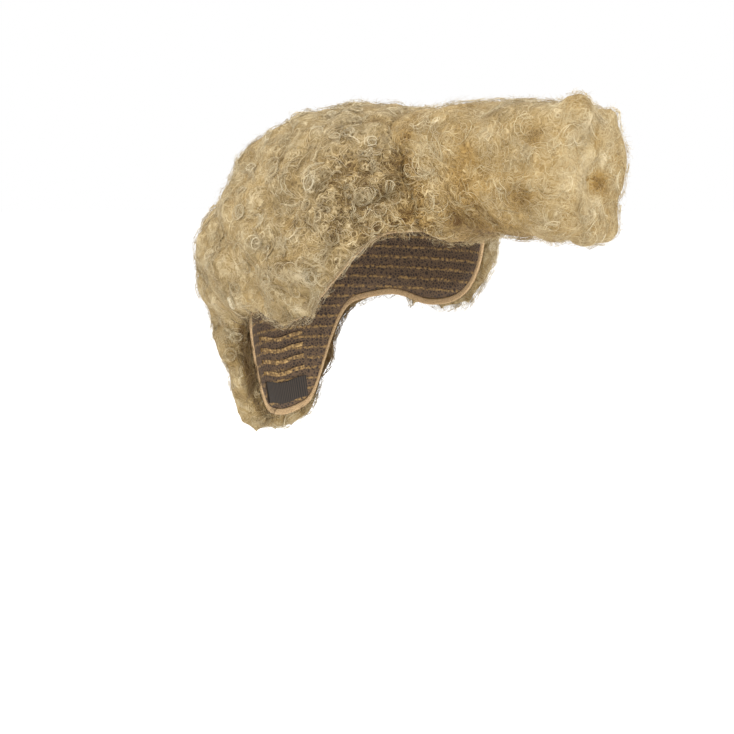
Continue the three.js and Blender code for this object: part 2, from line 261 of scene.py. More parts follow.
def skinned(name, cell):
    """An even, softened skin over one of the frame's solids."""
    rough = add_object("rough", as_mesh(merged(name), "rough"))
    wrap = rough.modifiers.new("wrap", "REMESH")
    wrap.mode, wrap.voxel_size = "VOXEL", cell
    soften = rough.modifiers.new("soften", "SMOOTH")
    soften.factor, soften.iterations = SOFTEN, SOFTEN_TIMES
    mesh = settled(rough)
    mesh.name = name + "_mat"
    keep_largest(mesh)
    return mesh


mats = {name: skinned(name, cell) for name, cell in SKIN_CELL.items()}
for name, mesh in mats.items():
    print(name, "skin has", len(mesh.polygons), "faces")

# %% [markdown]
# ## Where the hair grows
# Hair is tied to the outside of the cap only, so the inner face of a mat stays bare. Three lines
# matter too: the crease where roll and crown meet, the hem along the lace, and the thin fringe at its
# very edge. All of these could be painted by hand. Here they are distances to the frame's own
# solids, each turned into a share from 0 to 1, so that they stay right wherever the frame lies.

# %% Where the hair grows
OTHER_MASS = {"crown_hair": "front_roll", "front_roll": "crown_hair"}
OUTWARD_TURN = (-0.35, 0.05)  # how far a face looks away from the cap, for no hair and for full hair
ROOT_HEIGHT = (0.8 * MM, 2.8 * MM)  # height over the cap, for no hair and for full hair
CREASE = 4.0 * MM  # how far the crease between roll and crown reaches
HEM_BAND = (17 * MM, 9 * MM)  # distance to the lace where the hem begins, and where it is full
FRINGE_BAND = (9 * MM, 6 * MM)  # the same for the fringe
FRINGE_TURN = -0.6  # the fringe runs on round the edge, but not to the inside
NAPE, NAPE_REACH = (58, 78, -165), 38  # in millimetres, on both sides


def rows_of(items, field):
    """The places or normals of a mesh as rows of three numbers."""
    rows = np.zeros(len(items) * 3, np.float32)
    items.foreach_get(field, rows)
    return rows.reshape(-1, 3).astype(float)


def reach_to(points, name):
    """Each point's distance to one of the frame's solids, and the direction from there to it."""
    solid = nodes[name].data
    tree = BVHTree.FromPolygons([v.co for v in solid.vertices], [p.vertices for p in solid.polygons])
    spots = np.array([tree.find_nearest(Vector(p))[0] for p in points])
    away = points - spots
    far = np.linalg.norm(away, axis=1)
    return far, away / np.maximum(far, 1e-9)[:, None]


def ramp(values, start, end):
    """0 up to the start, 1 from the end on, and an even climb between."""
    return np.clip((values - start) / (end - start), 0, 1)


def near(points, spot, reach):
    """A soft spot: 1 at its middle, falling away over its reach. Both are in millimetres."""
    return np.exp(-((np.linalg.norm(points / MM - spot, axis=1) / reach) ** 2))


skins = {}
for name, mesh in mats.items():
    skin = SimpleNamespace(place=rows_of(mesh.vertices, "co"), facing=rows_of(mesh.vertex_normals, "vector"))
    skin.folded = skin.place * np.where(skin.place[:, :1] < 0, (-1, 1, 1), 1)
    skin.far, skin.away = reach_to(skin.place, "foundation_cap")
    skin.outward = (skin.facing * skin.away).sum(1)
    skin.grow = ramp(skin.outward, *OUTWARD_TURN) * ramp(skin.far, *ROOT_HEIGHT)
    skin.beside = reach_to(skin.place, OTHER_MASS[name])[0]
    skin.crease = np.exp(-skin.beside / CREASE)
    to_lace = reach_to(skin.place, "lace_edge")[0]
    skin.edge = ramp(to_lace, *HEM_BAND)
    skin.hem = skin.edge * skin.grow
    skin.fringe = ramp(to_lace, *FRINGE_BAND) * (skin.outward > FRINGE_TURN)
    skin.nape = skin.fringe * near(skin.folded, NAPE, NAPE_REACH)
    skins[name] = skin
    print(name, "grows hair on", f"{(skin.grow > 0.5).mean():.0%}", "of its skin")

# %% [markdown]
# ## Lumps of curls
# Teased curls gather in lumps as wide as a thumb, with smaller lumps on them and creases between.
# They could be sculpted one by one. The cells of a Voronoi pattern give them by rule instead: a point
# well inside its cell stands high, and one between two cells lies low. The lumps are deepest at the
# temple, on both masses, so each point also notes how deep its own lumps are.

# %% Lumps of curls
LUMPS = {  # width, height and change of tone of each kind of lump; the tone is painted light on a lump and painted shade in its creases
    "crown_hair": [(25 * MM, 4.5 * MM, 0.08), (11 * MM, 1.7 * MM, 0.07)],
    "front_roll": [(32 * MM, 3.0 * MM, 0.04), (13 * MM, 1.0 * MM, 0.035)],
}
LUMP_FLANK = 0.45  # share of a cell over which a lump climbs from its crease
LUMP_LEVEL = 0.7  # share of the climb that lies level with the skin
DEPTH = {  # least depth, added depth, and the place and reach of that in millimetres
    "crown_hair": (0.65, 0.95, (-68, -56, -42), 46),
    "front_roll": (0.60, 0.90, (-54, -82, -36), 30),
}


def lumps(points, width):
    """How far each point lies inside its own lump of hair: 0 in the crease between two, 1 well inside."""
    reaches = np.array([noise.voronoi(Vector(p / width))[0][:2] for p in points])
    return ramp(reaches[:, 1] - reaches[:, 0], 0, LUMP_FLANK)


for name, skin in skins.items():
    least, added, spot, reach = DEPTH[name]
    skin.deep = least + added * near(skin.place, spot, reach)
    skin.lumps = [lumps(skin.place, width) - LUMP_LEVEL for width, _, _ in LUMPS[name]]
    print(name, "lumps are", round(skin.deep.min(), 2), "to", round(skin.deep.max(), 2), "of full depth")

# %% [markdown]
# ## Where the colour changes
# The colour of this wig is not even, and light and shade are painted into it as well. The crown is a greyed
# straw. The temple, the groove beside the roll and the underside of the roll get painted shade, where less
# light gets in. The end of the roll, the roll's edge along the groove, the far sideburn and the back of the
# crown get painted light. The roll is more golden towards its end, with an orange-brown dimple in the middle,
# a hollow that is filled in and given painted shade. A painted image would hold all this, but only for one
# layout of the surface. Soft spots hold it anywhere: each has a place, a reach and a change of tone and of
# gold. Where the hair parts, it gets warm, dark painted shade down to its roots.

# %% Where the colour changes
SPOTS = [  # place in mm, reach in mm, change of tone, change of gold
    ((-66, -62, -30), 24, -0.09, 0.10),  # temple, painted shade
    ((-72, -52, -48), 22, -0.07, 0.12),
    ((-58, -68, -20), 9, -0.06, 0.20),  # painted shade in the groove beside the roll
    ((-58, -74, -55), 14, -0.06, 0.25),
    ((-51, -85, -8), 10, 0.12, -0.10),  # painted light on the edge of the roll along the groove
    ((-50, -89, -26), 10, 0.12, -0.10),
    ((-50, -94, -40), 9, 0.06, -0.05),
    ((-10, -190, -12), 45, 0.13, -0.08),  # painted light on the end of the roll and its near corner
    ((-26, -188, -25), 13, 0.06, 0.25),
    ((-3, -187, -28), 6, -0.20, 0.95),  # painted shade in the dimple, whose hollow is filled in
    ((6, -188, -30), 6.5, -0.20, 0.95),
    ((8, -190, -15), 4.5, 0.24, -0.20),  # pale tufts over and under the dimple
    ((2, -190, -41), 4, 0.22, -0.20),
    ((-46, -120, -30), 34, 0.00, 0.25),  # near side, painted shade on the underside, and top of the roll
    ((-20, -120, -66), 26, -0.24, 0.25),
    ((-20, -140, 22), 40, -0.02, -0.22),
    ((-20, 0, 12), 60, -0.02, -0.10),  # top of the crown, and painted light on its back
    ((-60, 60, -60), 60, 0.02, 0.00),
    ((-52, 96, -172), 30, -0.04, 0.22),  # nape
    ((92, -45, -85), 24, 0.10, 0.15),  # painted light on the far sideburn
]
PARTINGS = [  # place in mm, reach in mm
    ((-50, -122, -10), 7),  # along the roll
    ((-43, -168, 2), 7),
    ((-47, -161, -37), 8),
    ((-49, -116, -29), 7),
    ((-44, -125, -44), 7),
    ((-40, -106, -56), 8),
    ((-2, -191, -1), 7),
    ((-85, 16, -24), 4),  # over the side of the crown
    ((-86, -32, -30), 6),
    ((-92, -2, -59), 5),
    ((-74, -42, -20), 5),
    ((-74, 23, -12), 5),
    ((-101, -6, -84), 5),
    ((-41, -38, 12), 7),
    ((-52, -71, 2), 5),  # down the groove beside the roll
    ((-54, -70, -17), 5),
    ((-55, -76, -34), 5),
    ((-52, -78, -49), 5),
]
print(len(SPOTS), "soft spots and", len(PARTINGS), "partings")

# %% [markdown]
# ## Tone and gold
# Each point now adds up its own tone, from dark to light, and its own gold, from greyed straw to golden
# straw. The ground of its mass comes first, then a slow ripple, because no two locks match, then the lumps,
# with painted light on their tops and painted shade in the creases between, and last every place where the
# colour changes, painted light and shade among them.

# %% Tone and gold
GROUND = {"crown_hair": (0.37, 0.08), "front_roll": (0.345, 0.31)}  # tone, gold
TONE_RIPPLE, GOLD_RIPPLE = (0.07, 16 * MM), (0.15, 20 * MM)  # strength, width
ELSEWHERE = 0.3  # in metres, so that the gold has a ripple of its own
# lumps are less golden on top and more golden in their creases, a warm painted shade
LUMP_GOLD = -0.2
GAP_WIDTH, GAP_RIPPLE = 4.5 * MM, (0.2, 0.6)  # painted shade in the gaps between the curls of the temple
TEMPLE, GAP_REACH = (76, -30, -70), 50  # in millimetres, on both sides
# painted shade: in the crease beside the roll, under the nape where the hair turns in, along the partings and
# in the temple's gaps
CREASE_SHADE, NAPE_SHADE = (-0.03, 0.15), (-0.60, 0.50)  # change of tone, change of gold
PARTING_SHADE, GAP_SHADE = (-0.14, 0.35), (-0.26, 0.00)


def ripple(points, width):
    """A soft random swell over the points, from about -1 to 1, with waves of a given width."""
    return np.array([noise.noise(Vector(p / width)) for p in points])


for name, skin in skins.items():
    gaps = ramp(ripple(skin.place, GAP_WIDTH), *GAP_RIPPLE) * near(skin.folded, TEMPLE, GAP_REACH)
    shades = [(skin.crease, *CREASE_SHADE), (skin.nape, *NAPE_SHADE)]
    shades += [(gaps, *GAP_SHADE)] if name == "crown_hair" else []
    shades += [(near(skin.place, *spot), *PARTING_SHADE) for spot in PARTINGS]
    shades += [(lump, kind[2], LUMP_GOLD) for lump, kind in zip(skin.lumps, LUMPS[name])]
    shades += [(near(skin.place, spot, reach), lighter, golder) for spot, reach, lighter, golder in SPOTS]
    skin.tone = GROUND[name][0] + TONE_RIPPLE[0] * ripple(skin.place, TONE_RIPPLE[1])
    skin.gold = GROUND[name][1] + GOLD_RIPPLE[0] * ripple(skin.place + ELSEWHERE, GOLD_RIPPLE[1])
    for share, lighter, golder in shades:
        skin.tone += lighter * share
        skin.gold += golder * share
    print(name, "has a middle tone of", round(skin.tone.mean(), 2), "and gold of", round(skin.gold.mean(), 2))

# %% [markdown]
# ## Shaping the mats
# The skins are still as smooth as the solids. They are pulled in a little, so that the curls laid on
# them bring them back to size, and then raised into lumps. The crease beside the roll is a real
# groove, and the two masses swell to meet at its bottom. The hem hangs down past the edge of the cap,
# except where the lace shows. A few swells and dents follow the photograph's outline. Displacement
# in the material would be lost when the curls are grown, so it is the points themselves that move.

# %% Shaping the mats
SWELLS = {  # place in mm, reach in mm, how far the mat is pushed out in mm
    "crown_hair": [
        ((-90, -14, -117), 10, 2),  # sideburn
        ((97, -42, -88), 16, 5),  # far sideburn
        ((-70, 75, -35), 17, 7),  # back
        ((-80, 100, -105), 14, -3),
        ((-54, 97, -171), 15, 5),  # nape
    ],
    "front_roll": [
        ((-22, -189, 34), 6, -4),  # tufts over the top edge of the end
        ((-22, -189, 20), 10, 4),
        ((-6, -186, 20), 10, 4),
        ((17, -186, 15), 10, 5),
        ((-24, -190, -26), 10, 3.5),  # on either side of the dimple
        ((36, -190, -22), 16, 3.5),
        ((-4, -184, -27), 11, 7),  # dimple
        ((40, -186, -64), 10, 7),  # far lower corner, with a notch over it
        ((42, -190, -48), 9, -8),
        ((10, -182, -70), 17, 6),  # underside
        ((-20, -172, -64), 14, 4),
        ((-12, -125, -62), 22, 3),
        ((-8, -155, -62), 18, 3),
    ],
}
BARE = [  # place in mm, reach in mm, share of the hem that is left off there, so that the lace shows
    ((72, 46, -124), 22, 0.9),
    ((90, 6, -130), 16, 0.6),
    ((0, 90, -225), 50, 0.9),
]
MOST_BARE = 0.95
TUCKED = [((-91, 6, -133), 10), ((91, 6, -133), 10)]  # the hem is drawn up behind the sideburns
SOFTENED = [  # place in mm, reach in mm
    ((-90, 4, -126), 20),  # tips of the sideburns
    ((90, 4, -126), 20),
    ((0, 104, -226), 34),  # nape
    ((-4, -188, -27), 16),  # dimple
]
PULLED_IN, PULLED_SHARE = 1.0 * MM, 0.25  # at most that share of the height over the cap
GROOVE, MEETING, MEETING_REACH = 4.0 * MM, 1.8 * MM, 1.5 * MM
OVERHANG, HEM_OUT, TUCK = 8.0 * MM, 1.5 * MM, 7.0 * MM
FLAT_HEM, SOFT_HEM = 0.7, 0.5  # how much flatter and softer the mat is along the hem
MOST_SOFT, SOFT_TIMES = 0.6, 8


def relaxed(mesh, place, share, times):
    """The points drawn towards the middle of their neighbours, each by its own share."""
    ends = np.zeros(len(mesh.edges) * 2, np.int32)
    mesh.edges.foreach_get("vertices", ends)
    one, other = ends.reshape(-1, 2).T
    count = np.bincount(ends, minlength=len(place))
    for _ in range(times):
        middle = np.zeros_like(place)
        np.add.at(middle, one, place[other])
        np.add.at(middle, other, place[one])
        place = place + share[:, None] * (middle / count[:, None] - place)
    return place


for name, mesh in mats.items():
    skin = skins[name]
    down = np.array((0, 0, -1)) + skin.away[:, 2:] * skin.away
    skin.down = down / np.maximum(np.linalg.norm(down, axis=1), 1e-6)[:, None]
    bare = sum(share * near(skin.folded, spot, reach) for spot, reach, share in BARE)
    covered = skin.edge * (1 - np.clip(bare, 0, MOST_BARE))
    tucked = sum(near(skin.place, *spot) for spot in TUCKED)

    swell = sum(kind[1] * lump for lump, kind in zip(skin.lumps, LUMPS[name]))
    swell *= (1 - FLAT_HEM * skin.hem) * (1 - skin.crease) * skin.deep
    pull = np.minimum(PULLED_IN, PULLED_SHARE * skin.far) * (1 - skin.crease) * (1 - skin.hem)
    rise = (swell - pull - GROOVE * skin.crease * np.clip(skin.outward, 0, 1)) * skin.grow
    rise += MEETING * np.exp(-skin.beside / MEETING_REACH)
    rise += sum(push * MM * near(skin.place, spot, reach) for spot, reach, push in SWELLS[name])

    shift = skin.facing * rise[:, None]
    shift += covered[:, None] * (skin.down * OVERHANG + skin.away * HEM_OUT)
    shift -= tucked[:, None] * skin.down * TUCK
    soft = SOFT_HEM * skin.edge + np.clip(1 - skin.deep, 0, 1) * skin.grow
    soft += sum(near(skin.place, *spot) for spot in SOFTENED)
    skin.shaped = relaxed(mesh, skin.place + shift, np.clip(soft, 0, MOST_SOFT), SOFT_TIMES)
    mesh.vertices.foreach_set("co", skin.shaped.astype(np.float32).ravel())
    mesh.update()
    mesh.polygons.foreach_set("use_smooth", [True] * len(mesh.polygons))
    print(name, "rises", f"{rise.min() / MM:.1f} to {rise.max() / MM:.1f} mm")

# %% [markdown]
# ## Notes on the mats
# The curls and the colours need to know what each point has worked out. A mesh carries such notes as
# named attributes, which a material and a growing rule can both read. They say where each kind of
# curl grows and how thickly, how deep the lumps are, how light and how golden the hair is, and which
# way it lies: down over the crown, and forward along the roll.

# %% Notes on the mats
LAY = {"crown_hair": (0, 0, -0.03), "front_roll": (0, -0.06, 0)}
HEM_LAY = 0.3
CURLED_LEAST, CURLED_REACH = 0.45, 62  # rings and coils are thickest round the temples
RINGLETS = [  # places of single larger rings, in millimetres
    (-63, -67, -34),
    (-68, -68, -50),
    (-82, -22, -60),
    (-88, -10, -88),
    (-70, -40, 0),
    (63, -67, -34),
]
RINGLET_REACH = 2.5
HEM_THINS, HEM_LEAST = 40 * MM, 0.3  # the fringe thins out towards the back


def write_note(mesh, name, values, kind="FLOAT", field="value"):
    """Keep a value for each point of a mesh, under a name."""
    note = mesh.attributes.new(name, kind, "POINT")
    note.data.foreach_set(field, np.asarray(values, np.float32).ravel())


for name, mesh in mats.items():
    skin = skins[name]
    curled = CURLED_LEAST + (1 - CURLED_LEAST) * near(skin.folded, TEMPLE, CURLED_REACH)
    ringed = sum(near(skin.place, spot, RINGLET_REACH) for spot in RINGLETS)
    notes = {
        "grow": skin.grow,
        "deep": skin.deep,
        "hem": skin.fringe * np.clip(1 - skin.shaped[:, 1] / HEM_THINS, HEM_LEAST, 1),
        "under": skin.nape,
        "curled": curled * skin.grow,
        "ringed": ringed * skin.grow,
        "tone": np.clip(skin.tone, 0, 1),
        "gold": np.clip(skin.gold, 0, 1),
    }
    for note, values in notes.items():
        write_note(mesh, note, values)
    lay = np.array(LAY[name]) + HEM_LAY * skin.hem[:, None] * skin.down
    write_note(mesh, "lay", lay, "FLOAT_VECTOR", "vector")
    print(name, "carries", len(notes) + 1, "notes")

# %% [markdown]
# ## Hair colour
# Blond hair is straw-coloured along the strand and darker at the root, and no two strands match. One
# flat colour would make it look moulded. Two runs of colour cover it instead: a greyed straw and
# a golden straw. A strand reads its own tone and how golden its place is, and mixes the two.

# %% Hair strands
STRAW = [(0.0, "#4a3a22"), (0.3, "#8b7955"), (0.6, "#bdad8d"), (1.0, "#e3d9bc")]
GOLD = [(0.0, "#543a17"), (0.3, "#9a7b43"), (0.6, "#c7b07f"), (1.0, "#ebdfb7")]
ATTRIBUTE, COLOUR_RUN = "ShaderNodeAttribute", "ShaderNodeValToRGB"
TIP_LIGHTER = 0.12


def hair_colour(tree, tone):
    """The colour of hair of a given tone, by how golden its place is."""
    gold = node(tree, ATTRIBUTE, attribute_name="gold")
    straw_run = node(tree, COLOUR_RUN, {"Fac": tone}, STRAW)
    gold_run = node(tree, COLOUR_RUN, {"Fac": tone}, GOLD)
    mixed = {0: gold.outputs["Fac"], 6: straw_run, 7: gold_run}
    return node(tree, "ShaderNodeMix", mixed, data_type="RGBA").outputs[2]


# A bleached strand is smooth but scaly, which gives it a soft sheen, and it pales towards its tip.
strand_hair, tree, shader = new_material("blond hair strands", 0.5)
own = node(tree, ATTRIBUTE, attribute_name="tone").outputs["Fac"]
along = node(tree, ATTRIBUTE, attribute_name="along").outputs["Fac"]
paler = node(tree, MATH, {0: along, 1: TIP_LIGHTER, 2: own}, operation="MULTIPLY_ADD")
tree.links.new(hair_colour(tree, paler), shader.inputs["Base Color"])
shader.inputs["Specular IOR Level"].default_value = 0.35
print(strand_hair.name, "has", len(tree.nodes), "nodes")

# %% [markdown]
# ## Hair in the mat
# Between the strands the mat shows, and it has to look like more curls further down. Real strands would need
# tens of millions of triangles, so these are drawn. Each Voronoi cell gets a middle and an axis of its own,
# and hairs are wound round that axis as rings. Three sizes of rings lie over each other, and the lightest
# hair shows. Between the drawn hairs the mat is darker, as painted shade of the hair further down.

# %% Hair in the mat
RINGS = [  # width of the cells, and where in the pattern they are taken from, in metres
    (9.09 * MM, (0, 0, 0)),
    (11.76 * MM, (0.4, 0.7, 0.2)),
    (15.38 * MM, (0.9, 0.1, 0.5)),
]
HAIR_PITCH = 0.70 * MM  # ten times as coarse as real hair, which is too fine to show in the render
HAIR_LENGTH = 14 * HAIR_PITCH
HAIR_SHOWS = (0.44, 0.76)  # part of the pattern in which a hair shows
SWAY_WIDTH, SWAY = 6.25 * MM, (6 * MM, 6 * MM, 6 * MM)
CLOUD_WIDTH = 11.1 * MM
HAIR_LIGHT, CLOUD_DARK, CLOUD_LIGHT = 0.52, -0.302, -0.212  # change of tone: painted shade between the drawn hairs, which are lighter
RING_APART = 90.0  # keeps the hairs of one cell from running on into the next
HALF = (0.5, 0.5, 0.5)


def between(low, high):
    """The two numbers that spread a share from 0 to 1 out from low to high, multiplied and added."""
    return {1: high - low, 2: low}


# Felted hair scatters light in all directions, so it is duller than a strand and has fine ridges.
mat_hair, tree, shader = new_material("blond hair mat", 0.75)
place = node(tree, "ShaderNodeTexCoord").outputs["Object"]
sway = node(tree, NOISE, {"Vector": place, "Scale": 1 / SWAY_WIDTH, "Detail": 2.0}).outputs["Color"]
swayed = node(tree, VECTOR, {0: sway, 1: SWAY, 2: place}, operation="MULTIPLY_ADD")
layers = []
for width, taken_from in RINGS:
    bent = node(tree, VECTOR, {0: swayed, 1: taken_from}, operation="ADD")
    cells = node(tree, "ShaderNodeTexVoronoi", {"Vector": bent, "Scale": 1 / width}).outputs
    axis = node(tree, VECTOR, {0: cells["Color"], 1: HALF}, operation="SUBTRACT")
    axis = node(tree, VECTOR, {0: axis}, operation="NORMALIZE")
    local = node(tree, VECTOR, {0: bent, 1: cells["Position"]}, operation="SUBTRACT")
    along = node(tree, VECTOR, {0: local, 1: axis}, operation="DOT_PRODUCT").outputs["Value"]
    spine = node(tree, VECTOR, {0: axis, "Scale": along}, operation="SCALE")
    aside = node(tree, VECTOR, {0: local, 1: spine}, operation="DISTANCE").outputs["Value"]
    aside = node(tree, MATH, {0: aside, 1: HAIR_PITCH}, operation="DIVIDE")
    along = node(tree, MATH, {0: along, 1: HAIR_LENGTH}, operation="DIVIDE")
    apart = node(tree, "ShaderNodeSeparateColor", {0: cells["Color"]}).outputs[0]
    apart = node(tree, MATH, {0: apart, 1: RING_APART}, operation="MULTIPLY")
    wound = node(tree, "ShaderNodeCombineXYZ", {0: aside, 1: along, 2: apart})
    wound = node(tree, NOISE, {"Vector": wound, "Scale": 1.0, "Detail": 1.0, "Roughness": 0.5})
    shown = {"Value": wound, "From Min": HAIR_SHOWS[0], "From Max": HAIR_SHOWS[1]}
    layers.append(node(tree, "ShaderNodeMapRange", shown))
hairs = node(tree, MATH, {0: layers[0], 1: layers[1]}, operation="MAXIMUM")
hairs = node(tree, MATH, {0: hairs, 1: layers[2]}, operation="MAXIMUM")

clouds = node(tree, NOISE, {"Vector": place, "Scale": 1 / CLOUD_WIDTH, "Detail": 3.0}).outputs["Fac"]
deep = node(tree, ATTRIBUTE, attribute_name="deep").outputs["Fac"]
tone = node(tree, ATTRIBUTE, attribute_name="tone").outputs["Fac"]
lit = node(tree, MATH, {0: clouds, **between(CLOUD_DARK, CLOUD_LIGHT)}, operation="MULTIPLY_ADD")
lit = node(tree, MATH, {0: hairs, 1: HAIR_LIGHT, 2: lit}, operation="MULTIPLY_ADD")
lit = node(tree, MATH, {0: lit, 1: deep, 2: tone}, operation="MULTIPLY_ADD")
tree.links.new(hair_colour(tree, lit), shader.inputs["Base Color"])
ridges = node(tree, "ShaderNodeBump", {"Height": hairs, "Strength": 0.6, "Distance": 1.2 * MM})
tree.links.new(ridges.outputs["Normal"], shader.inputs["Normal"])
shader.inputs["Specular IOR Level"].default_value = 0.2
print(mat_hair.name, "has", len(tree.nodes), "nodes")

# %% [markdown]
# ## Laying the mats
# The two mats now stand for the frame's two masses of hair. They ride on the wig's one body.

# %% Laying the mats
for name, mesh in mats.items():
    mesh.materials.append(mat_hair)
    mat = add_object(name + "_mat", mesh)
    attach(mat, "root")
    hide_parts(name)
    print(mat.name, "replaces", name)

# %% [markdown]
# ## A rule for growing curls
# A permed strand winds round and round as it runs, lies along its neighbours, and hugs the mass
# below it. Blender's own hair curves could be combed by hand, but they aren't meshes. A tree of
# Geometry Nodes makes it one rule with a few sizes: how long the strand drifts, how wide and how
# often it winds, how frizzy it is and how far it lifts.

# %% Sizes of the rule
SIZES = [  # name, kind of input, usual value
    ("Where", "NodeSocketString", "grow"),
    ("Density", "NodeSocketFloat", 1000.0),
    ("Seed", "NodeSocketInt", 1),
    ("Per clump", "NodeSocketInt", 4),
    ("Spread", "NodeSocketFloat", 1.5 * MM),
    ("Length", "NodeSocketFloat", 20 * MM),
    ("Curl radius", "NodeSocketFloat", 4 * MM),
    ("Turns", "NodeSocketFloat", 1.5),
    ("Frizz", "NodeSocketFloat", 2 * MM),
    ("Lift", "NodeSocketFloat", 3 * MM),
    ("Stand", "NodeSocketFloat", 0.0),
    ("Conform", "NodeSocketFloat", 0.85),
    ("Thickness", "NodeSocketFloat", 0.28 * MM),
    ("Points", "NodeSocketInt", 14),
    # Lighter is painted light on the outer strands over the darker mat, and painted shade where it is below
    # nought
    ("Lighter", "NodeSocketFloat", 0.0),
    ("Hair", "NodeSocketMaterial", None),
]
curly = bpy.data.node_groups.new("curly_strands", "GeometryNodeTree")
curly.interface.new_socket("Mat", in_out="INPUT", socket_type="NodeSocketGeometry")
for name, kind, value in SIZES:
    socket = curly.interface.new_socket(name, in_out="INPUT", socket_type=kind)
    if value is not None:
        socket.default_value = value
curly.interface.new_socket("Strands", in_out="OUTPUT", socket_type="NodeSocketGeometry")
given = node(curly, "NodeGroupInput").outputs
print("the growing rule takes", len(SIZES), "sizes")

# %% [markdown]
# ### Roots
# Roots are scattered over the mat, as thickly as the chosen note says. Hair on a head lies in slow
# eddies, so each root takes a direction along the surface from a wide noise, and leans the way that
# the mat's own note tells it. The roots keep these, and three random numbers for their whole clump.

# %% Roots
EDDY = 25 * MM
NAMED, STORE = "GeometryNodeInputNamedAttribute", "GeometryNodeStoreNamedAttribute"
ROWS_OF_THREE = "FLOAT_VECTOR"
grow = node(curly, NAMED, {"Name": given["Where"]})
density = node(curly, MATH, {0: grow, 1: given["Density"]}, operation="MULTIPLY")
scatter = {"Mesh": given["Mat"], "Density": density, "Seed": given["Seed"]}
roots = node(curly, "GeometryNodeDistributePointsOnFaces", scatter)
normal = roots.outputs["Normal"]
eddies = node(curly, NOISE, {"Scale": 1 / EDDY, "Detail": 1.0}).outputs["Color"]
centred = node(curly, VECTOR, {0: eddies, 1: HALF}, operation="SUBTRACT")
turned = node(curly, VECTOR, {0: normal, 1: centred}, operation="CROSS_PRODUCT")
lay = node(curly, NAMED, {"Name": "lay"}, data_type=ROWS_OF_THREE)
leaning = node(curly, VECTOR, {0: turned, 1: lay}, operation="ADD")
flow = node(curly, VECTOR, {0: leaning}, operation="NORMALIZE")
shared = node(curly, "FunctionNodeRandomValue", {"Seed": given["Seed"]}, data_type=ROWS_OF_THREE)
for name, value in (("up", normal), ("flow", flow), ("clump", shared)):
    kept = {"Geometry": roots, "Name": name, "Value": value}
    roots = node(curly, STORE, kept, data_type=ROWS_OF_THREE)
print("roots bring the rule to", len(curly.nodes), "nodes")

# %% [markdown]
# ### Clumps
# Curls hang together in clumps of a few strands. Each root becomes several strands, set a little
# apart, with three random numbers of their own. A strand's tone is that of its place, made lighter
# or darker by both, and more so where the lumps are deep.

# %% Clumps
CLUMP_TONE, OWN_TONE = (-0.28, -0.18), 0.62
copies = {"Geometry": roots, "Amount": given["Per clump"]}
strands = node(curly, "GeometryNodeDuplicateElements", copies, domain="POINT")
index = node(curly, "GeometryNodeInputIndex")
each = {"ID": index, "Seed": given["Seed"]}
single = node(curly, "FunctionNodeRandomValue", each, data_type=ROWS_OF_THREE)
kept = {"Geometry": strands, "Name": "own", "Value": single}
strands = node(curly, STORE, kept, data_type=ROWS_OF_THREE)
own = node(curly, NAMED, {"Name": "own"}, data_type=ROWS_OF_THREE)
clump = node(curly, NAMED, {"Name": "clump"}, data_type=ROWS_OF_THREE)
own_xyz = node(curly, "ShaderNodeSeparateXYZ", {0: own}).outputs
clump_xyz = node(curly, "ShaderNodeSeparateXYZ", {0: clump}).outputs
apart = node(curly, VECTOR, {0: own, 1: HALF}, operation="SUBTRACT")
apart = node(curly, VECTOR, {0: apart, "Scale": given["Spread"]}, operation="SCALE")
strands = node(curly, "GeometryNodeSetPosition", {"Geometry": strands, "Offset": apart})
here = node(curly, "GeometryNodeInputPosition")
kept = {"Geometry": strands, "Name": "root", "Value": here}
strands = node(curly, STORE, kept, data_type=ROWS_OF_THREE)

tone = node(curly, NAMED, {"Name": "tone"})
deep = node(curly, NAMED, {"Name": "deep"})
deep = node(curly, MATH, {0: deep, **between(0.5, 1.0)}, operation="MULTIPLY_ADD")
uneven = node(curly, MATH, {0: clump_xyz["Z"], **between(*CLUMP_TONE)}, operation="MULTIPLY_ADD")
uneven = node(curly, MATH, {0: own_xyz["X"], 1: OWN_TONE, 2: uneven}, operation="MULTIPLY_ADD")
tone = node(curly, MATH, {0: uneven, 1: deep, 2: tone}, operation="MULTIPLY_ADD")
tone = node(curly, MATH, {0: tone, 1: given["Lighter"]}, operation="ADD", use_clamp=True)
strands = node(curly, STORE, {"Geometry": strands, "Name": "tone", "Value": tone})
print("clumps bring the rule to", len(curly.nodes), "nodes")

# %% [markdown]
# ### Winding
# Every strand starts as a short line with a few points. A curl is then two things that run along it:
# an angle that keeps turning, one way or the other, and a ring that shrinks towards the tip. Both
# come mostly from the clump, so that its strands wind together, with a little of the strand's own.

# %% Winding
VARIED, RING_VARIED, RING_SHRINKS = (0.55, 1.45), (0.75, 1.25), (1.0, 0.6)  # times the given size
START_TURNS, OWN_TURNS = 3.0, 0.15
line = node(curly, "GeometryNodeCurvePrimitiveLine", {"End": (0, 0, MM)})
line = node(curly, "GeometryNodeResampleCurve", {"Curve": line, "Count": given["Points"]})
lines = node(curly, "GeometryNodeInstanceOnPoints", {"Points": strands, "Instance": line})
lines = node(curly, "GeometryNodeRealizeInstances", {"Geometry": lines})

